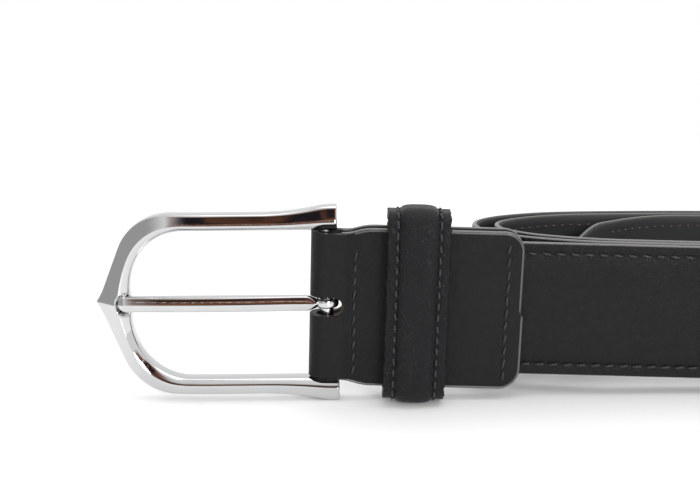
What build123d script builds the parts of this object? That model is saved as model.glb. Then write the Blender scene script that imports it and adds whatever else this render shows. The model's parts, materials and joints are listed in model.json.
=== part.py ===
from build123d import *

import os
from math import acos, asin, atan, cos, degrees, hypot, radians, sin

# Leather dress belt, rolled up and standing on its edge. A pointed-arch buckle turns
# on a bar inside the fold of a leather chape. The chape holds the end of the strap
# between its two legs, a padded keeper slides along it, and the strap runs on into a
# flattened roll of three turns whose pointed tail crosses the inside.
#
# Sizes are in millimetres. Two frames share one origin, the middle of the bar:
# - the buckle's frame is level,
# - the belt's frame slopes down from the bar to the far end of the roll.
# In both, X runs from the buckle towards the roll, Y from the front to the back and Z
# across the belt's width.

os.makedirs("parts", exist_ok=True)

# Strap: face leather and lining glued and sewn to a core that is thicker in the middle
strap_width = 32.0
face_leather = 0.75
core_edge = 0.3
core_rise = 0.5
lining_leather = 0.55
lining_inset = 0.2  # the lining stops this far inside the strap's edges
margin_width = 3.2  # flat margin along each edge, which takes the stitching
margin_ramp = 3.4  # width over which the face rises from the margin
strap_start = 5.0  # where the strap's sewn end begins, beyond the bar
point_length = 18.0
point_radius = 14.0
point_turn = 50.0
point_blunt = 1.5
hole_radius = 2.2
hole_count = 5
hole_pitch = 25.0
first_hole = 92.0  # from the tip of the tail to the nearest hole

# Roll: turns at one spacing, with a narrow nose by the buckle and a round far end
turn_count = 3
turn_gap = 0.25
nose_shift = 3.0  # how much further in the nose of each next turn lies
nose_start = 68.0  # where the first turn's nose has come back to the front
back_run = 35.0  # straight stretch along the back of the first turn
end_shoulder = (25.0, 40.0)  # angle and radius each side of the far end
nose_arcs = [(11.0, 380.0), (19.0, 54.0), (17.0, 24.0), (95.0, 9.0), (23.0, 27.0), (15.0, 76.0)]
tail_back_turn = 7.0  # how far the last turn follows the back before it leaves it
tail_bend = (30.0, 36.0)  # angle and radius of the bend into the slanting tail
tail_run = 25.0  # straight length from that bend to the tip

# Buckle: a cast pointed arch with two bevels that meet in a crest
opening_height = 35.7
arm_width = 3.9
buckle_reach = 54.6  # from the bar to the point
arm_end = 2.7  # from the bar to the ends of the arms
frame_front = 1.6  # from the bar's middle to the foot of the bevels
frame_back = 2.4
outer_slope = 24.5
inner_slope = 39.0
tip_slope = 54.0
ogee_turn = 13.0
ogee_radius = 18.0
shoulder_radius = 13.6
flare = 1.75
flare_radii = (60.0, 20.0)
apex_width = 8.5  # from the point to the opening
arch_line_turn = 35.0
arch_radii = (16.0, 13.0)
back_edge_round = 0.5
end_flat = 0.8
bar_radius = 1.5
bar_socket = 2.8  # how deep the bar sits in each arm
socket_clearance = 0.05

# Prong
prong_setback = 5.9  # from the buckle's point back to the prong's tip
prong_width = 3.8
prong_thickness = 3.0
prong_front = 4.5  # from the bar's middle to the prong's front face
loop_wall = 1.2
loop_width = 2.8
loop_clearance = 0.06
prong_swell = 8.5  # where the shank has grown to its full thickness
prong_neck = 5.5  # where the shank has narrowed to the loop's width
prong_bow = 0.5
prong_tip_thickness = 1.9
prong_tip_round = 1.3
prong_bevel = 1.1
notch_floor = 1.2
notch_clearance = 0.35

# Chape: two plies folded round the bar
chape_width = 37.1
chape_waist = 34.7
chape_end = 44.9
chape_face_leather = 0.8
chape_lining_leather = 0.7
fold_clearance = 0.45  # between the bar and the inside of the fold
bar_play = 0.3  # between the fold and the leaning bar's nearer end
leg_bend_start = 2.2
leg_bend_run = 4.4
waist_end = 3.0
waist_run = 7.5
chape_corner = 4.5
slot_width = 4.5
slot_end = 3.9

# Keeper: lining, padded rib and face leather in one loop, butted and stapled behind
keeper_width = 14.1
keeper_height = 47.8
keeper_ply = 0.9
rib_half_width = 4.4
rib_rise = 0.9
rib_ramp = 1.0
keeper_corner = 2.8  # radius of the line between the keeper's two plies
keeper_centre = 20.6
tail_passage = 3.0  # room in front of the chape for the strap's tail
keeper_play = 0.35  # behind the chape
keeper_seam = 0.3
staple_width = 0.9
staple_wire = 0.4
staple_crown = 6.0
staple_leg = 2.4
staple_offset = 2.4  # from the keeper's middle to each staple

# Sizes that follow from the ones above
strap_thickness = face_leather + core_edge + core_rise + lining_leather
half_strap = strap_width / 2
half_thick = strap_thickness / 2
turn_pitch = strap_thickness + turn_gap
opening_half = opening_height / 2
arm_half = opening_half + arm_width
buckle_half = arm_half + flare
prong_reach = buckle_reach - prong_setback
chape_ply = chape_face_leather + chape_lining_leather
fold_radius = bar_radius + fold_clearance


def rise(arcs, heading):
    """Sideways distance covered by tangent arcs (angle, radius) from a heading."""
    total = 0.0
    for angle, radius in arcs:
        total += radius * (cos(radians(heading)) - cos(radians(heading + angle)))
        heading += angle
    return total


def advance(arcs, heading):
    """Forward distance covered by tangent arcs (angle, radius) from a heading."""
    total = 0.0
    for angle, radius in arcs:
        total += radius * (sin(radians(heading + angle)) - sin(radians(heading)))
        heading += angle
    return total


# The far end's radius makes each turn come back exactly one pitch inside the last.
end_angle, end_radius = end_shoulder
shoulder_rise = rise([end_shoulder], 0)
far_radius = (turn_pitch - rise(nose_arcs, 180) - 2 * shoulder_rise) / (2 * cos(radians(end_angle)))
far_arcs = [end_shoulder, (180 - 2 * end_angle, far_radius), end_shoulder]
far_start = nose_start + back_run - advance(nose_arcs, 180)
roll_far = far_start + advance([end_shoulder, (90 - end_angle, far_radius)], 0) + half_thick
roll_back = rise(far_arcs, 0) + half_thick

# The buckle's flared arms stand on the table, and so does the roll's far lower edge.
bar_height = buckle_half
slope = asin(bar_height / hypot(roll_far, half_strap)) - atan(half_strap / roll_far)
lean = opening_half * sin(slope)  # the bar's shift across the sloping fold at its ends

keeper_rib = 2 * keeper_ply + rib_rise
keeper_inner_front = half_thick + chape_ply + tail_passage
keeper_inner_back = half_thick + chape_ply + keeper_play
keeper_right = keeper_centre + keeper_width / 2
keeper_lift = keeper_height / 2 - (bar_height - keeper_right * sin(slope)) / cos(slope)

roll_reach = roll_far * cos(slope) + half_strap * sin(slope)
bar_x = (buckle_reach - roll_reach) / 2
bar_y = (keeper_inner_front + keeper_rib - roll_back) / 2
bar_middle = (bar_x, bar_y, bar_height)
level = Plane(origin=bar_middle, x_dir=(1, 0, 0), z_dir=(0, 0, 1))
belt = Plane(
    origin=bar_middle,
    x_dir=(cos(slope), 0, -sin(slope)),
    z_dir=(sin(slope), 0, cos(slope)),
)


def front_view(frame, y):
    """Plane seen from the front: X to the right, Z up, facing the viewer."""
    return Plane(frame.from_local_coords((0, y, 0)), x_dir=frame.x_dir, z_dir=-frame.y_dir)


def plan_view(frame, z):
    """Plane seen from above: X to the right, Y away from the viewer."""
    return Plane(frame.from_local_coords((0, 0, z)), x_dir=frame.x_dir, z_dir=frame.z_dir)


def end_view(frame, x):
    """Plane across the belt: Y to the right, Z up, facing the roll."""
    return Plane(frame.from_local_coords((x, 0, 0)), x_dir=frame.y_dir, z_dir=frame.x_dir)


def march(start, heading, arcs):
    """Tangent arcs and straight runs laid end to end: (angle, radius) or (0, length)."""
    tangent = (cos(radians(heading)), sin(radians(heading)))
    for angle, size in arcs:
        if angle:
            step = JernArc(start, tangent, size, angle)
        else:
            step = Line(start, Vector(start) + Vector(tangent) * size)
        start = step @ 1
        heading += angle
        tangent = (cos(radians(heading)), sin(radians(heading)))
    return start


# ---------------------------------------------------------------- buckle frame
def arch_outline():
    """Outer outline of the buckle: ogee point, round shoulders, flared arm ends."""
    side = tip_slope + ogee_turn
    shoulder_climb = shoulder_radius * (1 - cos(radians(side)))
    ogee_climb = ogee_radius * (cos(radians(tip_slope)) - cos(radians(side)))
    side_run = (arm_half - shoulder_climb - ogee_climb) / sin(radians(side))
    flare_turn = degrees(acos(1 - flare / sum(flare_radii)))
    flare_run = sum(flare_radii) * sin(radians(flare_turn))
    bends = [(ogee_turn, ogee_radius), (0, side_run), (-side, shoulder_radius)]
    with BuildLine() as outline:
        arm_start = march((-buckle_reach, 0), tip_slope, bends)
        arm = Line(arm_start, (arm_end - end_flat - flare_run, arm_half))
        flares = [(flare_turn, flare_radii[0]), (-flare_turn, flare_radii[1]), (0, end_flat)]
        end = march(arm @ 1, 0, flares)
        Line(end, (arm_end, 0))
        mirror(about=Plane.XZ)
    return outline.line


def opening_outline():
    """Opening of the buckle: an arch whose legs run out past the ends of the arms."""
    arc_turn = 90 - arch_line_turn
    lower_radius, upper_radius = arch_radii
    climb = lower_radius * cos(radians(arc_turn)) + upper_radius * (1 - cos(radians(arc_turn)))
    left = apex_width - buckle_reach
    clear_end = 3 * arm_end
    rise_arcs = [(0, opening_half - climb), (-arch_line_turn, lower_radius), (-arc_turn, upper_radius)]
    with BuildLine() as outline:
        leg_start = march((left, 0), 90, rise_arcs)
        Line(leg_start, (clear_end, opening_half))
        Line((clear_end, opening_half), (clear_end, 0))
        mirror(about=Plane.XZ)
    return outline.line


bevel_room = 3.0  # more than the bevels' greatest height
prong_back = notch_floor + notch_clearance
notch_half = prong_width / 2 + notch_clearance
notch_end = prong_reach + notch_clearance

with BuildPart() as buckle_frame:
    with BuildSketch(front_view(level, frame_back)):
        make_face(arch_outline())
    extrude(amount=frame_back + frame_front)
    with BuildSketch(front_view(level, -frame_front)):
        make_face(arch_outline())
    extrude(amount=bevel_room, taper=90 - outer_slope)
    with BuildSketch(front_view(level, frame_back)):
        make_face(opening_outline())
    extrude(amount=frame_back + frame_front, mode=Mode.SUBTRACT)
    with BuildSketch(front_view(level, -frame_front)):
        make_face(opening_outline())
    extrude(amount=bevel_room, taper=inner_slope - 90, mode=Mode.SUBTRACT)
    back_face = buckle_frame.faces().filter_by(Axis.Y).sort_by(Axis.Y)[-1]
    fillet(back_face.edges(), back_edge_round)
    # Notch in the point for the prong's tip
    with BuildSketch(front_view(level, -notch_floor)):
        with Locations((notch_half - notch_end, 0)):
            Circle(notch_half)
        with Locations((notch_half - notch_end, 0)):
            Rectangle(apex_width, 2 * notch_half, align=(Align.MIN, Align.CENTER))
    extrude(amount=2 * bevel_room, mode=Mode.SUBTRACT)
    # Blind sockets for the bar
    with BuildSketch(plan_view(level, 0)):
        Circle(bar_radius + socket_clearance)
    extrude(amount=opening_half + bar_socket, both=True, mode=Mode.SUBTRACT)

buckle_frame.part.label = "buckle_frame"
export_step(buckle_frame.part, "parts/buckle_frame.step")

with BuildPart() as buckle_bar:
    with BuildSketch(plan_view(level, 0)):
        Circle(bar_radius)
    extrude(amount=opening_half + bar_socket, both=True)

buckle_bar.part.label = "buckle_bar"
export_step(buckle_bar.part, "parts/buckle_bar.step")

# ---------------------------------------------------------------- prong
loop_bore = bar_radius + loop_clearance
loop_radius = loop_bore + loop_wall
tip_face = prong_back + prong_tip_thickness
bow_middle = (-(prong_reach + prong_swell) / 2, -(prong_front + tip_face) / 2 - prong_bow)

with BuildPart() as prong:
    with BuildSketch(plan_view(level, -prong_width / 2)):
        with BuildLine():
            back = Line((-prong_reach, -prong_back), (-prong_swell, -prong_back))
            heel = Line(back @ 1, (-loop_bore, 0))
            inside = Line(heel @ 1, (0, 0))
            crown = Line(inside @ 1, (0, -loop_radius))
            swell = Line(crown @ 1, (-prong_swell, -prong_front))
            bow = ThreePointArc(swell @ 1, bow_middle, (-prong_reach, -tip_face))
            Line(bow @ 1, back @ 0)
        make_face()
    extrude(amount=prong_width)
    chamfer(prong.edges().filter_by(GeomType.CIRCLE), length=prong_bevel)
    with BuildSketch(front_view(level, 0)) as prong_outline:
        with BuildLine():
            tip = Line((-prong_reach, 0), (-prong_reach, prong_width / 2))
            side = Line(tip @ 1, (-prong_swell, prong_width / 2))
            neck = Line(side @ 1, (-prong_neck, loop_width / 2))
            loop_side = Line(neck @ 1, (loop_radius, loop_width / 2))
            Line(loop_side @ 1, (loop_radius, 0))
            mirror(about=Plane.XZ)
        make_face()
        fillet(prong_outline.vertices().group_by(Axis.X)[0], prong_tip_round)
    extrude(amount=2 * prong_front, both=True, mode=Mode.INTERSECT)
    with BuildSketch(plan_view(level, 0)):
        Circle(loop_radius)
    extrude(amount=loop_width / 2, both=True)
    with BuildSketch(plan_view(level, 0)):
        Circle(loop_bore)
    extrude(amount=prong_width, both=True, mode=Mode.SUBTRACT)

prong.part.label = "prong"
export_step(prong.part, "parts/prong.step")


# ---------------------------------------------------------------- chape
fold_middle = lean + bar_play - fold_clearance  # the fold's middle, in front of the bar
fold_reach = fold_middle + fold_radius + chape_ply
leg_turn = 2 * atan((fold_radius - half_thick) / leg_bend_run)
leg_radius = leg_bend_run / (2 * sin(leg_turn))
widening = (chape_width - chape_waist) / 2
waist_turn = 2 * atan(widening / waist_run)
waist_radius = waist_run / (2 * sin(waist_turn))


def fold_line(offset):
    """Line round the fold and along both legs, this far outside the folded leather's inside."""
    leg = (0, chape_end - leg_bend_start - leg_bend_run)
    throat = (0, leg_bend_start + fold_middle)
    spread = [(degrees(leg_turn), leg_radius - offset), (-degrees(leg_turn), leg_radius + offset)]
    steps = [leg, *spread, throat, (-180, fold_radius + offset), throat, *reversed(spread), leg]
    march((chape_end, -half_thick - offset), 180, steps)


def ply_outline(inner, outer):
    """Closed outline of one folded ply between two offsets, seen from above."""
    with BuildLine() as outline:
        fold_line(inner)
        fold_line(outer)
        for side in (-1, 1):
            Line((chape_end, side * (half_thick + inner)), (chape_end, side * (half_thick + outer)))
    return outline.line


def chape_outline():
    """Outline of the folded chape from the front: waist at the bar, rounded sewn end."""
    shoulder = [(degrees(waist_turn), waist_radius), (-degrees(waist_turn), waist_radius)]
    flank = chape_end - chape_corner - waist_end - waist_run
    steps = [(0, fold_reach + waist_end), *shoulder, (0, flank), (-90, chape_corner)]
    with BuildLine() as outline:
        Line((-fold_reach, 0), (-fold_reach, chape_waist / 2))
        corner = march((-fold_reach, chape_waist / 2), 0, steps)
        Line(corner, (chape_end, 0))
        mirror(about=Plane.XZ)
    return outline.line


def trim_chape():
    """Trim a folded ply to the chape's outline and cut the prong's slot."""
    with BuildSketch(front_view(belt, 0)) as outline:
        make_face(chape_outline())
    extrude(outline.sketch, amount=2 * fold_reach, both=True, mode=Mode.INTERSECT)
    slot_middle = (slot_end - slot_width / 2, 0)
    with BuildSketch(front_view(belt, 0)) as slot:
        with Locations(slot_middle):
            Circle(slot_width / 2)
            Rectangle(2 * fold_reach, slot_width, align=(Align.MAX, Align.CENTER))
    extrude(slot.sketch, amount=2 * fold_reach, both=True, mode=Mode.SUBTRACT)


with BuildPart() as chape_outer:
    with BuildSketch(plan_view(belt, -chape_width / 2)):
        make_face(ply_outline(chape_lining_leather, chape_ply))
    extrude(amount=chape_width)
    trim_chape()

chape_outer.part.label = "chape_outer"
export_step(chape_outer.part, "parts/chape_outer.step")

with BuildPart() as chape_lining:
    with BuildSketch(plan_view(belt, -chape_width / 2)):
        make_face(ply_outline(0, chape_lining_leather))
    extrude(amount=chape_width)
    trim_chape()

chape_lining.part.label = "chape_lining"
export_step(chape_lining.part, "parts/chape_lining.step")


# ---------------------------------------------------------------- strap
def roll_line():
    """Middle of the strap's thickness, from its sewn end round the roll to its tip."""
    steps = [(0, far_start - strap_start)]
    for turn in range(turn_count - 1):
        inset = turn * turn_pitch
        steps += [(angle, radius - inset) for angle, radius in far_arcs]
        steps += [(0, back_run - turn * nose_shift)]
        steps += [(angle, radius - inset) for angle, radius in nose_arcs]
        steps += [(0, far_start - nose_start - turn * nose_shift)]
    inset = (turn_count - 1) * turn_pitch
    steps += [(angle, radius - inset) for angle, radius in far_arcs]
    steps += [(0, back_run - (turn_count - 2) * nose_shift)]
    steps += [(tail_back_turn, nose_arcs[0][1] - inset), tail_bend, (0, tail_run)]
    with BuildLine() as line:
        march((strap_start, 0), 0, steps)
    return line.wires()[0]


roll = roll_line().moved(plan_view(belt, 0).location)
strap_length = roll.length
tail = Plane(origin=roll @ 1, x_dir=-(roll % 1), z_dir=belt.z_dir.cross(roll % 1))
hole_places = [
    strap_length - first_hole - number * hole_pitch for number in range(hole_count)
]
face_front = core_rise - half_thick
face_back = face_front + face_leather
core_back = half_thick - lining_leather
lined_half = half_strap - lining_inset
crown_foot = half_strap - margin_width
crown_half = crown_foot - margin_ramp
cut_room = turn_gap / 5  # how far the cuts run past the strap's faces


def padded_line(y, half_width):
    """Points across the strap, raised by the core between the two margins."""
    return [
        (y, -half_width),
        (y, -crown_foot),
        (y - core_rise, -crown_half),
        (y - core_rise, crown_half),
        (y, crown_foot),
        (y, half_width),
    ]


def cut_tail(half_width):
    """Point the strap's tail and punch its holes."""
    with BuildLine() as outline:
        edge = JernArc((point_length, half_width), (-1, 0), point_radius, point_turn)
        flank = Line(edge @ 1, (0, point_blunt))
        blunt = Line(flank @ 1, (0, 0))
        middle = Line(blunt @ 1, (point_length, 0))
        Line(middle @ 1, edge @ 0)
    with BuildSketch(tail) as waste:
        Rectangle(point_length, strap_width, align=(Align.MIN, Align.CENTER))
        make_face(outline.line, mode=Mode.SUBTRACT)
        make_face(outline.line.mirror(Plane.XZ), mode=Mode.SUBTRACT)
    extrude(waste.sketch, amount=half_thick + cut_room, both=True, mode=Mode.SUBTRACT)
    for place in hole_places:
        along = place / strap_length
        across = belt.z_dir.cross(roll % along)
        with BuildSketch(Plane(origin=roll @ along, x_dir=roll % along, z_dir=across)) as hole:
            Circle(hole_radius)
        extrude(hole.sketch, amount=half_thick + cut_room, both=True, mode=Mode.SUBTRACT)


with BuildPart() as strap_top:
    with BuildSketch(end_view(belt, strap_start)):
        outer_line = padded_line(face_front, half_strap)
        inner_line = padded_line(face_back, half_strap)
        Polygon(*outer_line, *reversed(inner_line), align=None)
    sweep(path=roll)
    cut_tail(half_strap)

strap_top.part.label = "strap_top"
export_step(strap_top.part, "parts/strap_top.step")

with BuildPart() as strap_core:
    with BuildSketch(end_view(belt, strap_start)):
        outer_line = padded_line(face_back, lined_half)
        Polygon(*outer_line, (core_back, lined_half), (core_back, -lined_half), align=None)
    sweep(path=roll)
    cut_tail(lined_half)

strap_core.part.label = "strap_core"
export_step(strap_core.part, "parts/strap_core.step")

with BuildPart() as strap_lining:
    with BuildSketch(end_view(belt, strap_start)):
        with Locations((half_thick - lining_leather / 2, 0)):
            Rectangle(lining_leather, 2 * lined_half)
    sweep(path=roll)
    cut_tail(lined_half)

strap_lining.part.label = "strap_lining"
export_step(strap_lining.part, "parts/strap_lining.step")

# ---------------------------------------------------------------- keeper
keeper = Plane(
    origin=belt.from_local_coords((keeper_centre, 0, keeper_lift)),
    x_dir=belt.x_dir,
    z_dir=belt.z_dir,
)
ply_half = keeper_height / 2 - keeper_rib + keeper_ply
ply_front = -keeper_inner_front - keeper_ply
ply_back = keeper_inner_back + keeper_ply
half_keeper = keeper_width / 2
rib_foot = rib_half_width
rib_top = rib_half_width - rib_ramp


def keeper_line():
    """The line between the keeper's plies, from one side of its seam to the other."""
    up = (0, ply_half - keeper_corner - keeper_seam / 2)
    over = (0, ply_back - ply_front - 2 * keeper_corner)
    down = (0, 2 * (ply_half - keeper_corner))
    bend = (90, keeper_corner)
    with BuildLine() as line:
        march((ply_back, keeper_seam / 2), 90, [up, bend, over, bend, down, bend, over, bend, up])
    return line.wires()[0]


keeper_loop = keeper_line().moved(end_view(keeper, 0).location)
keeper_section = Plane(origin=keeper_loop @ 0, x_dir=keeper.x_dir, z_dir=keeper.z_dir)


def rib_line(height):
    """Points across the keeper, raised by the pad between the two margins."""
    return [
        (-half_keeper, height),
        (-rib_foot, height),
        (-rib_top, height + rib_rise),
        (rib_top, height + rib_rise),
        (rib_foot, height),
        (half_keeper, height),
    ]


staple_surface = ply_back + keeper_ply + rib_rise

with BuildPart() as keeper_staples:
    for side in (-1, 1):
        with BuildSketch(end_view(keeper, side * staple_offset)):
            with Locations((staple_surface, 0)):
                Rectangle(staple_leg, staple_crown, align=(Align.MAX, Align.CENTER))
            with Locations((staple_surface - staple_wire, 0)):
                inner_crown = staple_crown - 2 * staple_wire
                Rectangle(staple_leg, inner_crown, align=(Align.MAX, Align.CENTER), mode=Mode.SUBTRACT)
        extrude(amount=staple_width / 2, both=True)

keeper_staples.part.label = "keeper_staples"
export_step(keeper_staples.part, "parts/keeper_staples.step")

with BuildPart() as keeper_cover:
    with BuildSketch(keeper_section):
        Polygon(*rib_line(keeper_ply), *reversed(rib_line(0)), align=None)
    sweep(path=keeper_loop)
    add(keeper_staples.part, mode=Mode.SUBTRACT)

keeper_cover.part.label = "keeper_cover"
export_step(keeper_cover.part, "parts/keeper_cover.step")

with BuildPart() as keeper_pad:
    with BuildSketch(keeper_section):
        Polygon(*rib_line(0)[1:-1], align=None)
    sweep(path=keeper_loop)
    add(keeper_staples.part, mode=Mode.SUBTRACT)

keeper_pad.part.label = "keeper_pad"
export_step(keeper_pad.part, "parts/keeper_pad.step")

with BuildPart() as keeper_lining:
    with BuildSketch(keeper_section):
        Rectangle(keeper_width, keeper_ply, align=(Align.CENTER, Align.MAX))
    sweep(path=keeper_loop)
    add(keeper_staples.part, mode=Mode.SUBTRACT)

keeper_lining.part.label = "keeper_lining"
export_step(keeper_lining.part, "parts/keeper_lining.step")
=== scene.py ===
import json
import math
import random

import bmesh
import bpy
from mathutils import Matrix, Vector


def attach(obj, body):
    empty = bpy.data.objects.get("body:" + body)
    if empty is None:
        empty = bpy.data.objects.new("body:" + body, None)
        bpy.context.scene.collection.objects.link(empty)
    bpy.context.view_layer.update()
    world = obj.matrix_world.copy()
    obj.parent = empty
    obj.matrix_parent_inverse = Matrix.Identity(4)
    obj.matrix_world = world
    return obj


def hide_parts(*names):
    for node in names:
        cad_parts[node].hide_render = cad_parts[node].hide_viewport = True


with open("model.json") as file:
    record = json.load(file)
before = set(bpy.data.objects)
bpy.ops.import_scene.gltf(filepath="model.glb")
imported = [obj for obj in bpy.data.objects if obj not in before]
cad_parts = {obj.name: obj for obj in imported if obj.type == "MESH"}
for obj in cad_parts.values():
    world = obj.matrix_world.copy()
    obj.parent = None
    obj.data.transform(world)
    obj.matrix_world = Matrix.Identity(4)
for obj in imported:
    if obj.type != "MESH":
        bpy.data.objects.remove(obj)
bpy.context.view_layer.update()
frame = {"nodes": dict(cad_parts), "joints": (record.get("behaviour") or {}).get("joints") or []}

MM = 0.001
random.seed(7)

# ------------------------------------------------------------------ places in the frame
joints = {joint["name"]: joint for joint in frame["joints"]}
bar_middle = Vector(joints["frame_pivot"]["pos_m"])
along = Vector(joints["keeper_slide"]["axis"]).normalized()
behind = Vector((0, 1, 0))


def place(x_axis):
    """Matrix from millimetres about the bar's middle to the frame: X along, Y behind, Z up."""
    z_axis = x_axis.cross(behind)
    turn = Matrix((x_axis, behind, z_axis)).transposed().to_4x4()
    return Matrix.Translation(bar_middle) @ turn @ Matrix.Scale(MM, 4)


level = place(Vector((1, 0, 0)))
belt = place(along)

# Sizes in millimetres, as in the solids
strap_width = 32.0
strap_edge = 1.6
strap_rise = 0.5
strap_start = 5.0
lining_thick = 0.55
nose_start = 68.0
nose_shift = 3.0
back_run = 35.0
far_start = 167.41
turn_pitch = 2.35
end_shoulder = (25.0, 40.0)
far_radius = 18.271
nose_arcs = [(11.0, 380.0), (19.0, 54.0), (17.0, 24.0), (95.0, 9.0), (23.0, 27.0), (15.0, 76.0)]
tail_arcs = [(7.0, 380.0 - 2 * turn_pitch), (30.0, 36.0)]
tail_run = 25.0
point_length = 18.0
half_strap = strap_width / 2
strap_front = -1.05 + strap_rise
strap_back = 1.05


# ------------------------------------------------------------------ lines and skins
def march(start, heading, steps, spacing=2.0, turn_step=4.0):
    """Stations (x, y, heading, distance) along tangent arcs (angle, radius) and runs (0, length)."""
    x, y = start
    travelled = 0.0
    stations = [(x, y, heading, travelled)]
    for angle, size in steps:
        length = abs(math.radians(angle)) * size if angle else size
        count = max(1, math.ceil(length / spacing), math.ceil(abs(angle) / turn_step))
        for _ in range(count):
            piece = length / count
            if angle:
                half_turn = angle / count / 2
                chord = 2 * size * math.sin(math.radians(abs(half_turn)))
                direction = math.radians(heading + half_turn)
                heading += 2 * half_turn
            else:
                chord = piece
                direction = math.radians(heading)
            x += chord * math.cos(direction)
            y += chord * math.sin(direction)
            travelled += piece
            stations.append((x, y, heading, travelled))
    return stations


def right_of(heading):
    """Unit vector to the right of a heading, seen from above."""
    return math.sin(math.radians(heading)), -math.cos(math.radians(heading))


def mesh_object(name, points, faces, matrix, materials=(), indices=None, runs=None):
    """A smooth-shaded mesh from points in millimetres, with an optional run layer for patterns."""
    mesh = bpy.data.meshes.new(name)
    mesh.from_pydata([matrix @ Vector(p) for p in points], [], faces)
    if runs:
        layer = mesh.uv_layers.new(name="run")
        for loop in mesh.loops:
            layer.data[loop.index].uv = runs[loop.vertex_index]
    for material in materials:
        mesh.materials.append(material)
    if indices:
        mesh.polygons.foreach_set("material_index", indices)
    mesh.polygons.foreach_set("use_smooth", [True] * len(mesh.polygons))
    mesh.validate()
    mesh.update()
    obj = bpy.data.objects.new(name, mesh)
    bpy.context.scene.collection.objects.link(obj)
    return obj


def skin(rings, closed=False, capped=True):
    """Faces over rings of equally many points. The first and last ring are capped or joined."""
    count = len(rings[0])
    points = [point for ring in rings for point in ring]
    faces = []
    turns = len(rings) if closed else len(rings) - 1
    for i in range(turns):
        j = (i + 1) % len(rings)
        for k in range(count):
            m = (k + 1) % count
            faces.append((i * count + k, i * count + m, j * count + m, j * count + k))
    if capped and not closed:
        faces.append(tuple(reversed(range(count))))
        faces.append(tuple(range((len(rings) - 1) * count, len(rings) * count)))
    return points, faces


def outward(obj):
    """Turn the faces of a closed mesh outwards."""
    shell = bmesh.new()
    shell.from_mesh(obj.data)
    bmesh.ops.recalc_face_normals(shell, faces=shell.faces)
    shell.to_mesh(obj.data)
    shell.free()
    return obj


# ------------------------------------------------------------------ shader helpers
class Wire:
    """A node's output that takes part in arithmetic; each operation adds a Math node."""

    def __init__(self, nodes, socket):
        self.nodes = nodes
        self.socket = socket

    def math(self, operation, *values):
        return self.nodes.add("ShaderNodeMath", {"operation": operation}, dict(enumerate(values)))

    def __add__(self, other):
        return self.math("ADD", self, other)

    def __sub__(self, other):
        return self.math("SUBTRACT", self, other)

    def __rsub__(self, other):
        return self.math("SUBTRACT", other, self)

    def __mul__(self, other):
        return self.math("MULTIPLY", self, other)

    __radd__ = __add__
    __rmul__ = __mul__

    def frac(self):
        return self.math("FRACT", self)

    def size(self):
        return self.math("ABSOLUTE", self)

    def ramp(self, low, high):
        """0 below low and 1 above high, or the other way round, with a smooth step between."""
        limits = {"Value": self, "From Min": low, "From Max": high}
        return self.nodes.add("ShaderNodeMapRange", {"interpolation_type": "SMOOTHSTEP"}, limits)


class Nodes:
    """A node tree in which every node comes from one method."""

    def __init__(self, tree):
        self.tree = tree

    def add(self, kind, settings=None, values=None, output=0):
        node = self.tree.nodes.new(kind)
        for key, value in (settings or {}).items():
            if key == "stops":
                while len(node.color_ramp.elements) < len(value):
                    node.color_ramp.elements.new(0.5)
                for element, (position, colour) in zip(node.color_ramp.elements, value):
                    element.position = position
                    element.color = colour
            else:
                setattr(node, key, value)
        for key, value in (values or {}).items():
            self.feed(node.inputs[key], value)
        return Wire(self, node.outputs[output])

    def feed(self, socket, value):
        if isinstance(value, Wire):
            self.tree.links.new(value.socket, socket)
        else:
            socket.default_value = value

    def mix(self, factor, first, second):
        """Colour between two colours."""
        return self.add("ShaderNodeMix", {"data_type": "RGBA"}, {0: factor, 6: first, 7: second}, 2)

    def noise(self, vector, scale, detail=2.0, roughness=0.5):
        values = {"Vector": vector, "Scale": scale, "Detail": detail, "Roughness": roughness}
        return self.add("ShaderNodeTexNoise", None, values)


class Finish(Nodes):
    """A material with one Principled shader."""

    def __init__(self, name, **constants):
        self.material = bpy.data.materials.new(name)
        self.material.use_nodes = True
        super().__init__(self.material.node_tree)
        self.shader = self.tree.nodes["Principled BSDF"]
        for key, value in constants.items():
            self.shader.inputs[key.replace("_", " ")].default_value = value

    def set(self, name, value):
        self.feed(self.shader.inputs[name], value)

    def spot(self):
        """Position on the object, in metres."""
        return self.add("ShaderNodeTexCoord", output=3)

    def relief(self, height, depth, normal=None):
        """Bump of a height between 0 and 1 over a depth in metres."""
        values = {"Strength": 1.0, "Distance": depth, "Height": height}
        if normal:
            values["Normal"] = normal
        return self.add("ShaderNodeBump", None, values)


def grey(value, alpha=1.0):
    return (value, value, value, alpha)


# ------------------------------------------------------------------ finishes
def grain_leather(name, tone, cell, depth, gloss, creases=0.0):
    """Black calf: pebbled grain over faint mottling, with long creases where it bends."""
    finish = Finish(name, IOR=1.45, Specular_IOR_Level=0.26)
    spot = finish.spot()
    warp = finish.noise(spot, 900.0, 2.0)
    cells = {"Vector": spot, "Scale": 1 / (cell * MM), "Randomness": 1.0}
    pebble = finish.add("ShaderNodeTexVoronoi", {"feature": "DISTANCE_TO_EDGE"}, cells)
    pores = finish.noise(spot, 5200.0, 3.0)
    height = pebble.ramp(0.0, 0.35) * 0.75 + pores * 0.25 + warp * 0.3
    cloud = finish.noise(spot, 70.0, 3.0)
    colour = finish.mix(cloud, tone, tuple(0.6 * c for c in tone[:3]) + (1.0,))
    normal = finish.relief(height, depth * MM)
    if creases:
        lean = {0: spot, "Rotation": (0, 0.7, 0), "Scale": (1, 1, 0.25)}
        stretch = finish.add("ShaderNodeMapping", None, lean)
        fold = finish.noise(stretch, 700.0, 3.0)
        normal = finish.relief(fold, creases * MM, normal)
    finish.set("Base Color", colour)
    finish.set("Roughness", cloud * 0.12 + (gloss - 0.06) + pebble.ramp(0.3, 0.0) * 0.08)
    finish.set("Normal", normal)
    return finish.material


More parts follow.
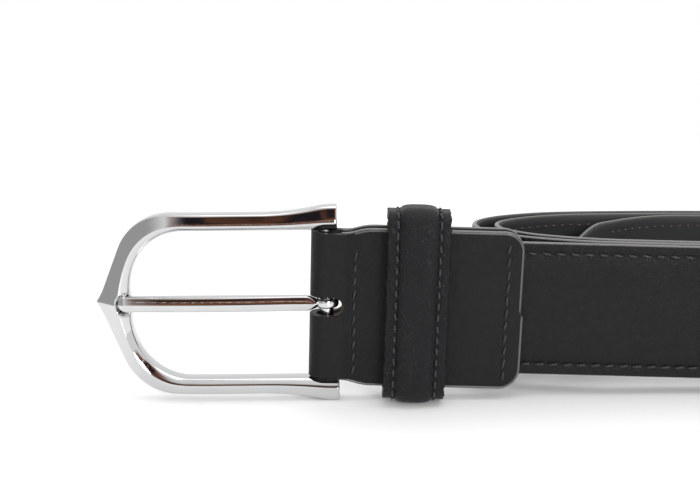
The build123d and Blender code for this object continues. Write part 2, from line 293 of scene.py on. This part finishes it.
def edge_paint(name, tone):
    """Burnished edge paint: smooth and slightly uneven."""
    finish = Finish(name, IOR=1.5, Coat_Weight=0.7, Coat_Roughness=0.2)
    spot = finish.spot()
    waves = finish.noise(spot, 320.0, 4.0, 0.6)
    speck = finish.noise(spot, 2600.0, 2.0)
    # The given tone is lighter than black paint, so part of the base colour is a painted reflection.
    finish.set("Base Color", finish.mix(waves, tone, tuple(0.55 * c for c in tone[:3]) + (1.0,)))
    finish.set("Roughness", waves * 0.2 + 0.3)
    finish.set("Normal", finish.relief(waves * 0.7 + speck * 0.3, 0.06 * MM))
    return finish.material


def polished_metal():
    """Polished nickel-chrome plate with hairline wear."""
    finish = Finish("polished_metal", Metallic=1.0)
    spot = finish.spot()
    stretch = finish.add("ShaderNodeMapping", None, {0: spot, "Scale": (60, 900, 900)})
    hair = finish.noise(stretch, 8.0, 4.0, 0.7)
    swirl = finish.noise(spot, 160.0, 2.0)
    finish.set("Base Color", finish.mix(swirl, (0.64, 0.64, 0.645, 1), (0.59, 0.595, 0.60, 1)))
    finish.set("Roughness", hair.ramp(0.55, 0.8) * 0.05 + 0.045 + swirl * 0.02)
    finish.set("Normal", finish.relief(swirl, 0.01 * MM))
    return finish.material


def lining_leather():
    """Smooth lining split."""
    finish = Finish("lining_split", IOR=1.45)
    spot = finish.spot()
    fuzz = finish.noise(spot, 1500.0, 4.0, 0.65)
    broad = finish.noise(spot, 60.0, 2.0)
    tone = finish.mix(broad, (0.014, 0.015, 0.0145, 1), (0.022, 0.023, 0.022, 1))
    finish.set("Base Color", tone)
    finish.set("Roughness", fuzz * 0.2 + 0.42)
    finish.set("Normal", finish.relief(fuzz, 0.05 * MM))
    return finish.material


def waxed_thread(name, tone):
    """Twisted waxed thread."""
    finish = Finish(name, IOR=1.5, Roughness=0.38)
    twist = finish.add("ShaderNodeTexWave", {"bands_direction": "DIAGONAL"}, {0: finish.spot(), 1: 900.0})
    finish.set("Base Color", finish.mix(twist, tone, tuple(0.4 * c for c in tone[:3]) + (1.0,)))
    finish.set("Normal", finish.relief(twist, 0.05 * MM))
    return finish.material


def plain(name, tone, roughness, metallic=0.0):
    """Evenly coloured finish with slight unevenness."""
    finish = Finish(name, Metallic=metallic)
    cloud = finish.noise(finish.spot(), 900.0, 3.0)
    finish.set("Base Color", finish.mix(cloud, tone, tuple(0.7 * c for c in tone[:3]) + (1.0,)))
    finish.set("Roughness", cloud * 0.15 + roughness)
    return finish.material


calf = grain_leather("calf_face", (0.0045, 0.0045, 0.0052, 1), 0.42, 0.09, 0.36)
chape_calf = grain_leather("calf_chape", (0.0045, 0.0045, 0.0052, 1), 0.36, 0.06, 0.40, creases=0.12)
keeper_calf = grain_leather("calf_keeper", (0.005, 0.0055, 0.0065, 1), 0.46, 0.14, 0.34)
# Dark grey tone, lighter than the black edge paint itself: part of it is painted reflection of the bright room on
# the edges.
paint = edge_paint("edge_paint", (0.075, 0.073, 0.07, 1))
split = lining_leather()
chrome = polished_metal()
black_thread = waxed_thread("black_thread", (0.02, 0.02, 0.021, 1))
tan_thread = waxed_thread("tan_thread", (0.075, 0.06, 0.045, 1))
board = plain("leather_board", (0.05, 0.042, 0.034, 1), 0.7)
brass = plain("brass_wire", (0.62, 0.47, 0.20, 1), 0.25, 1.0)
raw_edge = plain("raw_slot_edge", (0.075, 0.05, 0.035, 1), 0.75)


# ------------------------------------------------------------------ strap
def roll_steps():
    """Runs and arcs of the strap's middle line, from its sewn end to its tip."""
    steps = [(0, far_start - strap_start)]
    shoulders = [end_shoulder, (180 - 2 * end_shoulder[0], far_radius), end_shoulder]
    for turn in range(2):
        inset = turn * turn_pitch
        steps += [(angle, radius - inset) for angle, radius in shoulders]
        steps += [(0, back_run - turn * nose_shift)]
        steps += [(angle, radius - inset) for angle, radius in nose_arcs]
        steps += [(0, far_start - nose_start - turn * nose_shift)]
    steps += [(angle, radius - 2 * turn_pitch) for angle, radius in shoulders]
    return steps + [(0, back_run - nose_shift), *tail_arcs, (0, tail_run)]


stations = march((strap_start, 0), 0, roll_steps())
strap_length = stations[-1][3]


def rise(height):
    """How far the face stands out over the core at a height across the strap."""
    inset = half_strap - abs(height)
    t = min(1.0, max(0.0, (inset - 2.9) / 4.0))
    swell = strap_rise * (1 - (1 - t) ** 2.2) if t > 0 else 0.0
    groove = 0.16 * math.exp(-((inset - 2.6) / 0.45) ** 2)
    return swell - groove


def half_width(distance):
    """Half the strap's width, which narrows to a point at the tail."""
    left = strap_length - distance
    if left >= point_length:
        return half_strap
    t = left / point_length
    return 1.5 + (half_strap - 1.5) * (1 - (1 - t) ** 1.75)


def strap_rings(profile):
    """Rings round the roll of a profile of (outward, height) at each station."""
    rings = []
    for x, y, heading, distance in stations:
        side_x, side_y = right_of(heading)
        share = half_width(distance) / half_strap
        rings.append([(x + side_x * o, y + side_y * o, h * share) for o, h in profile])
    return rings


def face_profile():
    """Closed profile of the face leather with rounded, painted edges, and where the face ends."""
    heights = [15.75, 15.3, 14.6, 14.0, 13.7, 13.4, 13.1, 12.8, 12.2, 11.2, 10.0, 8.5, 6.0, 3.0]
    heights = [-h for h in heights] + [0.0] + heights[::-1]
    front = [(rise(h) - strap_front, h) for h in heights]
    back = lining_thick - strap_back
    edge = [(0.38, 15.93), (0.15, 16.0), (back + 0.05, 16.0), (back, 15.8)]
    lower = [(o, -h) for o, h in reversed(edge)]
    return front + edge + lower, len(front)


profile, face_count = face_profile()
points, faces = skin(strap_rings(profile))
count = len(profile)
slots = [0 if k % count < face_count - 1 else 1 for k in range(len(faces) - 2)] + [1, 1]
runs = [(distance, height) for _, _, _, distance in stations for _, height in profile]
strap_face = mesh_object("strap_face_and_edges", points, faces, belt, (calf, paint), slots, runs)
outward(strap_face)
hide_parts("strap_top", "strap_core")
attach(strap_face, "strap")

back_profile = [(lining_thick - strap_back - 0.02, h) for h in (-15.7, -8, 0, 8, 15.7)]
back_profile += [(-strap_back + 0.12, 15.8), (-strap_back, 15.55)]
back_profile += [(-strap_back, h) for h in (14.2, 13.9, 8, 0, -8, -13.9, -14.2)]
back_profile += [(-strap_back, -15.55), (-strap_back + 0.12, -15.8)]
points, faces = skin(strap_rings(back_profile))
strap_back_ply = mesh_object("strap_lining_ply", points, faces, belt, (split,))
outward(strap_back_ply)
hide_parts("strap_lining")
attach(strap_back_ply, "strap")


# ------------------------------------------------------------------ stitching
def thread_ring(middle, axis, normal, width, share):
    """Six points round a stitch."""
    side = axis.cross(normal).normalized()
    ring = []
    for k in range(6):
        angle = math.tau * k / 6
        across = width * share * math.cos(angle)
        out = width * share * math.sin(angle)
        ring.append(middle + side * across + normal * out)
    return ring


def stitches(name, seats, material, body, length=2.5, width=0.36, matrix=belt):
    """Short lengths of thread. A seat is the middle, the direction and the outward normal."""
    points, faces = [], []
    profile = [(-0.5, 0.35, -0.2), (-0.36, 0.95, 0.0), (0.0, 1.0, 0.12), (0.36, 0.95, 0.0), (0.5, 0.35, -0.2)]
    for middle, axis, normal in seats:
        rings = []
        for t, share, lift in profile:
            centre = middle + axis * (t * length) + normal * lift
            rings.append([tuple(p) for p in thread_ring(centre, axis, normal, width, share)])
        more, quads = skin(rings)
        faces += [tuple(k + len(points) for k in quad) for quad in quads]
        points += more
    obj = mesh_object(name, points, faces, matrix, (material,))
    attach(obj, body)
    return obj


def station_at(place_along):
    """Point and heading of the strap's middle line at a distance along it."""
    k = 0
    while k < len(stations) - 2 and stations[k + 1][3] < place_along:
        k += 1
    x0, y0, heading0, d0 = stations[k]
    x1, y1, heading1, d1 = stations[k + 1]
    t = (place_along - d0) / (d1 - d0)
    heading = heading0 + (heading1 - heading0) * t
    return Vector((x0 + (x1 - x0) * t, y0 + (y1 - y0) * t, 0)), heading


def seats_on_strap(height, pitch, outward_offset, first, last, slant):
    """Stitch seats along the roll at a height, at one pitch, a little uneven."""
    seats = []
    place_along = first
    while place_along < last:
        point, heading = station_at(place_along)
        side = Vector((*right_of(heading), 0))
        tangent = Vector((math.cos(math.radians(heading)), math.sin(math.radians(heading)), 0))
        middle = point + Vector((0, 0, height)) + side * outward_offset
        axis = (tangent + Vector((0, 0, slant + random.uniform(-0.05, 0.05)))).normalized()
        normal = side if outward_offset > 0 else -side
        seats.append((middle, axis, normal))
        place_along += pitch
    return seats


row_inset = 2.6
stitch_pitch = 3.3
lining_pitch = 2.4
for label, height, slant in (("upper", half_strap - row_inset, -0.12), ("lower", row_inset - half_strap, 0.12)):
    seats = seats_on_strap(height, stitch_pitch, -strap_front - 0.1, 42.0, strap_length - 20, slant)
    stitches(f"strap_stitches_{label}", seats, black_thread, "strap")
    seats = seats_on_strap(height, lining_pitch, -strap_back, 45.0, strap_length - 20, 0.0)
    stitches(f"lining_stitches_{label}", seats, tan_thread, "strap", length=1.1, width=0.24)


# ------------------------------------------------------------------ holes in the tail
hole_count = 5
hole_pitch = 25.0
first_hole = 92.0
hole_radius = 2.2
pin_reach = 1.16
pin_sides = 28


def punch(obj, cutter):
    """Cut a mesh by another and keep the result as plain mesh."""
    cut = obj.modifiers.new("holes", "BOOLEAN")
    cut.object = cutter
    cut.solver = "EXACT"
    graph = bpy.context.evaluated_depsgraph_get()
    pierced = bpy.data.meshes.new_from_object(obj.evaluated_get(graph))
    obj.modifiers.clear()
    obj.data = pierced


def round_pins():
    """Five round pins through the tail, where its holes go."""
    points, faces = [], []
    for number in range(hole_count):
        middle, heading = station_at(strap_length - first_hole - hole_pitch * number)
        side = Vector((*right_of(heading), 0))
        tangent = Vector((math.cos(math.radians(heading)), math.sin(math.radians(heading)), 0))
        rings = []
        for reach in (-pin_reach, pin_reach):
            ring = []
            for k in range(pin_sides):
                angle = math.tau * k / pin_sides
                ahead = tangent * (hole_radius * math.cos(angle))
                above = Vector((0, 0, hole_radius * math.sin(angle)))
                ring.append(tuple(middle + side * reach + ahead + above))
            rings.append(ring)
        more, quads = skin(rings)
        faces += [tuple(k + len(points) for k in quad) for quad in quads]
        points += more
    return outward(mesh_object("pins", points, faces, belt, (paint,)))


pins = round_pins()
punch(strap_face, pins)
punch(strap_back_ply, pins)
bpy.data.objects.remove(pins)


# ------------------------------------------------------------------ buckle frame
opening_half = 17.85
arm_half = 21.75
point_reach = 54.6
arm_end = 2.7
frame_front = 1.6
frame_back = 2.4
apex_width = 8.5
crest_share = 0.36
crest_height = 0.29
bow_start = 27.0
bow_radius = 85.0
point_heading = 54
point_turn = 13
point_radius = 18.0
shoulder_radius = 13.6
arm_run = 21.1
flare_rise = 1.75
flare_out = 60.0
flare_back = 20.0
opening_run = 35.1


def drop(x):
    """How far the arch bends back at a place along the buckle."""
    return max(0.0, -bow_start - x) ** 2 / (2 * bow_radius)


def arch_lines():
    """Outer and inner outlines of the frame's upper half, from the point to the arm's end."""
    shoulder_turn = point_heading + point_turn
    steep = math.radians(shoulder_turn)
    point_climb = point_radius * (math.cos(math.radians(point_heading)) - math.cos(steep))
    side_run = (arm_half - shoulder_radius * (1 - math.cos(steep)) - point_climb) / math.sin(steep)
    flare_turn = math.degrees(math.acos(1 - flare_rise / (flare_out + flare_back)))
    outer_steps = [(point_turn, point_radius), (0, side_run), (-shoulder_turn, shoulder_radius)]
    outer_steps += [(0, arm_run), (flare_turn, flare_out), (-flare_turn, flare_back), (0, 0.85)]
    outer = march((-point_reach, 0), point_heading, outer_steps, 0.8, 3.0)
    climb = 16 * math.cos(math.radians(55)) + 13 * (1 - math.cos(math.radians(55)))
    inner_steps = [(0, opening_half - climb), (-35, 16.0), (-55, 13.0), (0, opening_run)]
    inner = march((apex_width - point_reach, 0), 90, inner_steps, 0.45, 2.5)
    return outer, inner


def opposite(station, line):
    """Where the normal at a station of one outline meets the other outline."""
    x, y, heading, _ = station
    nx, ny = -math.sin(math.radians(heading)), math.cos(math.radians(heading))
    best = None
    for first, second in zip(line, line[1:]):
        ex, ey = second[0] - first[0], second[1] - first[1]
        cross = nx * ey - ny * ex
        if abs(cross) < 1e-9:
            continue
        reach = ((first[0] - x) * ey - (first[1] - y) * ex) / cross
        share = ((first[0] - x) * ny - (first[1] - y) * nx) / cross
        if reach > 0 and -1e-6 <= share <= 1 + 1e-6 and (best is None or reach < best):
            best = reach
    return x + nx * best, y + ny * best, best


def bevels(share):
    """Height of the two bevels as a part of the crest's, with a softened crest."""
    tent = min(share / crest_share, (1 - share) / (1 - crest_share))
    return tent - 0.05 * math.exp(-((share - crest_share) / 0.045) ** 2)


def frame_ring(x0, z0, x1, z1, width, shrink=0.0):
    """Section of the frame between the opening and the outer outline."""
    ring = []
    tight = 0.35 / width
    front = [(0.0, 0.42), (tight / 3, 0.12)]
    front += [(share, 0.0) for share in (tight, 0.16, 0.24, 0.30, 0.335, 0.36, 0.385, 0.42, 0.5, 0.62, 0.74, 0.85)]
    front += [(1 - tight, 0.0), (1 - tight / 3, 0.12), (1.0, 0.42)]
    section = [(share, dip - frame_front - crest_height * width * bevels(share)) for share, dip in front]
    section += [(1.0, frame_back - 0.7), (1 - 0.2 / width, frame_back - 0.2), (1 - 0.7 / width, frame_back)]
    section += [(0.7 / width, frame_back), (0.2 / width, frame_back - 0.2), (0.0, frame_back - 0.7)]
    for share, depth in section:
        share = 0.5 + (share - 0.5) * (1 - shrink)
        depth *= 1 - shrink
        x = x0 + (x1 - x0) * share
        z = z0 + (z1 - z0) * share
        seat_x = max(0.0, -46.9 - x)
        from_seat = math.hypot(seat_x, z - 0.2)
        t = min(1.0, max(0.0, (2.45 - from_seat) / 0.45))
        t = t * t * (3 - 2 * t)
        if depth < -1.0 and x < -44:
            depth += (max(depth, -1.3) - depth) * t
        ring.append((x, depth + drop(x), z))
    return ring


def frame_rings():
    """Sections from the lower arm's end round the point to the upper arm's end."""
    outer, inner = arch_lines()
    upper = []
    for station in inner:
        x, z, width = opposite(station, outer)
        if station[0] > arm_end - 0.5:
            break
        upper.append((station[0], station[1], x, z, width))
    rings = [frame_ring(*section) for section in upper]
    x0, z0, x1, z1, width = upper[-1]
    for x, shrink in ((arm_end - 0.3, 0.0), (arm_end - 0.08, 0.06), (arm_end, 0.16)):
        rings.append(frame_ring(x, z0, x, z1, width, shrink))
    lower = [[(x, y, -z) for x, y, z in ring] for ring in rings[:0:-1]]
    return lower + rings


points, faces = skin(frame_rings())
arch = mesh_object("pointed_arch", points, faces, level, (chrome,))
outward(arch)
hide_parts("buckle_frame")
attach(arch, "frame")

# ------------------------------------------------------------------ prong
prong_tip = -48.7
prong_lift = 0.45
shank_half = 1.85
neck_half = 0.95


def prong_ring(x):
    """Section of the prong: a crest between two shallow bevels over rounded sides."""
    along_tip = min(1.0, (x - prong_tip) / 2.0)
    plan = math.sqrt(max(0.0, 1 - (1 - along_tip) ** 2))
    t = min(1.0, max(0.0, (x + 4.8) / 3.3))
    half = (shank_half + (neck_half - shank_half) * t * t * (3 - 2 * t)) * max(plan, 0.06)
    t = min(1.0, max(0.0, (x - prong_tip) / 40.0))
    bow = 0.6 * math.sin(math.pi * t)
    front = -1.9 - 0.5 * t - bow
    back = 0.75 - 0.45 * t
    soften = 1 - max(plan, 0.06)
    front += soften * 1.1
    back -= soften * 0.8
    section = []
    for share, depth in ((0.0, 0.0), (0.08, 0.03), (0.5, 0.36), (0.8, 0.62), (0.93, 0.8), (1.0, 1.2)):
        section.append((share * half, front + depth * (1 - soften)))
    section += [(half, back - 0.6 * (1 - soften)), (0.75 * half, back)]
    ring = [(x, y, prong_lift + across) for across, y in section]
    ring += [(x, y, prong_lift - across) for across, y in reversed(section[1:])]
    return ring


shank_places = [prong_tip + 2.0 * (1 - math.cos(math.pi / 2 * k / 9)) for k in range(10)]
shank_places += [prong_tip + 2.0 + k * (37.7 / 24) for k in range(1, 25)]
shank_places += [-7.0, -5.4] + [-4.8 + k * 0.35 for k in range(8)]
points, faces = skin([prong_ring(x) for x in shank_places])
shank = mesh_object("prong_shank", points, faces, level, (chrome,))
outward(shank)

eye_section = [(1.62, -0.8), (1.62, 0.8), (1.8, 1.0), (2.5, 1.0), (2.72, 0.75)]
eye_section += [(2.8, 0.3), (2.8, -0.3), (2.72, -0.75), (2.5, -1.0), (1.8, -1.0)]
loop_rings = []
for k in range(56):
    angle = math.tau * k / 56
    ring = []
    for radius, z in eye_section:
        ring.append((radius * math.cos(angle), radius * math.sin(angle), prong_lift + z))
    loop_rings.append(ring)
points, faces = skin(loop_rings, closed=True)
eye = mesh_object("prong_eye", points, faces, level, (chrome,))
outward(eye)
for piece in (shank, eye):
    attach(piece, "tongue")
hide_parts("prong")

# ------------------------------------------------------------------ keeper
keeper_centre = 20.6
keeper_lift = 0.744
keeper_top = 22.4
keeper_front = -7.35
keeper_rear = 4.7
keeper_half = 7.05
keeper_bend = 4.6


def keeper_loop():
    """Stations round the outside of the keeper's margins: y, z, heading and distance."""
    up = (0, keeper_top - keeper_bend)
    over = (0, keeper_rear - keeper_front - 2 * keeper_bend)
    down = (0, 2 * (keeper_top - keeper_bend))
    bend = (90, keeper_bend)
    return march((keeper_rear, 0), 90, [up, bend, over, bend, down, bend, over, bend, up], 1.2, 6.0)


def keeper_profile(phase):
    """Points across the keeper: a padded rib between two thin, slightly wavy margins."""
    wave = 0.13 * math.sin(phase * 1.9) + 0.08 * math.sin(phase * 4.7 + 1)
    edge = keeper_half + wave
    outer = []
    for share in (-1.0, -0.97, -0.9, -0.8, -0.72, -0.68, -0.64):
        outer.append((share * edge, -0.14 if share == -1.0 else 0.0))
    outer[-2] = (outer[-2][0], -0.22)
    outer[-1] = (outer[-1][0], -0.08)
    for k in range(13):
        share = -1 + k / 6
        outer.append((share * 4.35, 0.9 * (1 - abs(share) ** 3.2) ** 0.62 + 0.03))
    outer += [(-x, n) for x, n in reversed(outer[:7])]
    inner = [(edge - 0.05, -1.55), (edge - 0.3, -1.8), (2.5, -1.8)]
    inner += [(-x, n) for x, n in reversed(inner)]
    return outer, inner


rings = []
loop_stations = keeper_loop()
for y, z, heading, distance in loop_stations[:-1]:
    side_y, side_z = right_of(heading)
    outer, inner = keeper_profile(distance)
    ring = []
    for x, n in outer + inner:
        ring.append((keeper_centre + x, y + side_y * n, keeper_lift + z + side_z * n))
    rings.append(ring)
points, faces = skin(rings, closed=True)
ring_size = len(rings[0])
slots = [0 if k % ring_size < 26 else 1 for k in range(len(faces))]
keeper_loop_piece = mesh_object("padded_keeper", points, faces, belt, (keeper_calf, split), slots)
outward(keeper_loop_piece)
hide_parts("keeper_cover", "keeper_pad", "keeper_lining")
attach(keeper_loop_piece, "keeper")

for label, across in (("near", -4.85), ("far", 4.85)):
    seats = []
    travelled = 3.0
    while travelled < loop_stations[-1][3] - 3:
        k = max(i for i, station in enumerate(loop_stations) if station[3] <= travelled)
        y, z, heading, distance = loop_stations[k]
        side_y, side_z = right_of(heading)
        ahead = travelled - distance
        run = Vector((0, math.cos(math.radians(heading)), math.sin(math.radians(heading))))
        middle = Vector((keeper_centre + across, y - side_y * 0.12, keeper_lift + z - side_z * 0.12)) + run * ahead
        lean = Vector((random.uniform(-0.12, 0.12) + 0.12, 0, 0))
        seats.append((middle, (run + lean).normalized(), Vector((0, side_y, side_z))))
        travelled += 2.7
    stitches(f"keeper_stitches_{label}", seats, black_thread, "keeper", length=2.0, width=0.36)

# ------------------------------------------------------------------ chape
chape_face = -2.55
for label, along_x, reach in (("near", 6.4, 15.2), ("far", 41.5, 15.9)):
    seats = []
    height = -reach
    while height <= reach:
        lean = Vector((0.16 + random.uniform(-0.1, 0.1), 0, 0))
        middle = Vector((along_x + random.uniform(-0.1, 0.1), chape_face - 0.03, height))
        seats.append((middle, (Vector((0, 0, 1)) + lean).normalized(), Vector((0, -1, 0))))
        height += 3.05
    stitches(f"chape_stitches_{label}", seats, black_thread, "strap", length=2.4, width=0.36)


def slot_rim():
    """Raw edge of the chape round the end of the prong's slot."""
    rings = []
    for k in range(15):
        angle = math.radians(-90 + 180 * k / 14)
        out_x, out_z = math.cos(angle), math.sin(angle)
        ring = []
        for radius, y in ((1.8, -1.3), (1.95, -2.3), (2.25, -2.62), (2.75, -2.66), (2.9, -2.5), (2.4, -1.3)):
            ring.append((1.65 + radius * out_x, y, radius * out_z))
        rings.append(ring)
    points, faces = skin(rings)
    rim = mesh_object("slot_rim", points, faces, belt, (raw_edge,))
    outward(rim)
    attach(rim, "strap")


slot_rim()


def chape_edges():
    """Burnished, slightly domed edges of the chape's two legs."""
    ease_turn = 18.18
    ease_radius = 12.02
    leg_run = 29.9
    corner = 4.5
    end_half = 14.05
    steps = [(ease_turn, ease_radius), (-ease_turn, ease_radius), (0, leg_run), (-90, corner), (0, end_half)]
    section = [(-0.5, 1.12), (0.02, 1.12), (0.14, 1.4), (0.17, 1.8)]
    section += [(0.14, 2.2), (0.02, 2.5), (-0.22, 2.6), (-0.5, 2.57)]
    upper = march((3.0, 17.35), 0, steps, 1.5, 8.0)
    line = upper + [(x, -z, 180 - heading, 0.0) for x, z, heading, _ in upper[-2::-1]]
    for label, side in (("front", -1), ("rear", 1)):
        rings = []
        for x, z, heading, _ in line:
            out_x, out_z = -math.sin(math.radians(heading)), math.cos(math.radians(heading))
            if z < 0 or (z == 0 and heading > 0):
                out_x, out_z = -out_x, -out_z
            ring = []
            for out, depth in section:
                ring.append((x + out_x * out, side * depth, z + out_z * out))
            rings.append(ring)
        points, faces = skin(rings)
        edge = mesh_object(f"chape_edge_{label}", points, faces, belt, (paint,))
        outward(edge)
        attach(edge, "strap")


chape_edges()

# ------------------------------------------------------------------ materials of the kept solids
for node, material in {
    "buckle_frame": chrome, "buckle_bar": chrome, "prong": chrome, "chape_outer": chape_calf,
    "chape_lining": split, "keeper_cover": keeper_calf, "keeper_pad": board, "keeper_lining": split,
    "keeper_staples": brass, "strap_top": calf, "strap_core": board, "strap_lining": split,
}.items():
    solid = frame["nodes"][node]
    solid.data.materials.clear()
    solid.data.materials.append(material)


# ------------------------------------------------------------------ floor, light and camera
def floor():
    """A pale table that keeps the belt's shadow and turns white away from it."""
    mesh = bpy.data.meshes.new("table")
    half = 0.75
    corners = [(-half, -half, 0), (half, -half, 0), (half, half, 0), (-half, half, 0)]
    mesh.from_pydata(corners, [], [(0, 1, 2, 3)])
    table = bpy.data.objects.new("table", mesh)
    bpy.context.scene.collection.objects.link(table)
    finish = Finish("white_table", IOR=1.45)
    finish.set("Base Color", (0.93, 0.93, 0.925, 1))
    finish.set("Roughness", finish.noise(finish.spot(), 30.0) * 0.05 + 0.4)
    away = finish.add("ShaderNodeVectorMath", {"operation": "LENGTH"}, {0: finish.spot()}, 1)
    finish.set("Alpha", away.ramp(0.42, 0.2))
    mesh.materials.append(finish.material)


def surroundings():
    """White room light. Metal also shows a dark warm room in front of the belt."""
    world = bpy.data.worlds.new("room")
    bpy.context.scene.world = world
    world.use_nodes = True
    nodes = Nodes(world.node_tree)
    background = world.node_tree.nodes["Background"]
    direction = nodes.add("ShaderNodeTexCoord")
    split_axes = nodes.add("ShaderNodeSeparateXYZ", None, {0: direction})
    x, y, z = (Wire(nodes, split_axes.socket.node.outputs[k]) for k in range(3))
    front = y.ramp(-0.35, -0.55)
    height = z.ramp(0.24, 0.32) * z.ramp(0.84, 0.72)
    across = x.ramp(-0.42, -0.24) * x.ramp(0.7, 0.55)
    room = front * height * across
    stretched = nodes.add("ShaderNodeMapping", None, {0: direction, "Scale": (0.8, 1.0, 4.0)})
    mottle = nodes.noise(stretched, 4.0, 4.0, 0.6)
    stops = [(0.0, (0.008, 0.008, 0.01, 1)), (0.46, (0.015, 0.014, 0.017, 1)), (0.53, (0.22, 0.085, 0.04, 1)),
             (0.60, (0.30, 0.13, 0.07, 1)), (0.66, (0.05, 0.06, 0.09, 1))]
    dark = nodes.add("ShaderNodeValToRGB", {"stops": stops}, {0: mottle})
    lamps = (x * 48.0).frac().ramp(0.35, 0.5) * (x * 48.0).frac().ramp(0.70, 0.55)
    lamps = lamps * (z - 0.47).size().ramp(0.016, 0.008)
    lit = nodes.mix(lamps, dark, grey(2.5))
    grey_wall = nodes.mix(x.ramp(-0.35, -0.75), grey(0.95), grey(0.46))
    shiny = nodes.mix(room, grey_wall, lit)
    glossy = nodes.add("ShaderNodeLightPath", output=3)
    nodes.feed(background.inputs["Color"], nodes.mix(glossy, grey(1.0), shiny))
    background.inputs["Strength"].default_value = 1.0


def softbox(name, spot, target, size, power):
    """A square soft light aimed at a point."""
    light = bpy.data.lights.new(name, "AREA")
    light.size = size
    light.energy = power
    lamp = bpy.data.objects.new(name, light)
    lamp.location = spot
    lamp.rotation_euler = (Vector(target) - Vector(spot)).to_track_quat("-Z", "Y").to_euler()
    bpy.context.scene.collection.objects.link(lamp)


def camera():
    """The camera, a little above the belt and in front of the chape."""
    lens = bpy.data.cameras.new("view")
    lens.lens = 61.7
    lens.sensor_width = 36.0
    view = bpy.data.objects.new("view", lens)
    elevation = math.radians(14.5)
    roll = math.radians(1.5)
    forward = Vector((0, math.cos(elevation), -math.sin(elevation)))
    right = Vector((1, 0, 0))
    up = right.cross(forward)
    right, up = math.cos(roll) * right + math.sin(roll) * up, math.cos(roll) * up - math.sin(roll) * right
    turn = belt.to_3x3().normalized()
    axes = Matrix((turn @ right, turn @ up, turn @ -forward)).transposed()
    view.matrix_world = Matrix.Translation(belt @ Vector((5.05, -267.6, 82.2))) @ axes.to_4x4()
    bpy.context.scene.collection.objects.link(view)
    bpy.context.scene.camera = view


floor()
surroundings()
softbox("overhead", (0.15, 0.05, 0.9), (0.0, 0.0, 0.0), 0.8, 3.0)
softbox("front", (0.25, -0.95, 0.42), (0.0, 0.0, 0.02), 0.3, 5.0)
camera()
bpy.context.scene.view_settings.view_transform = "Standard"
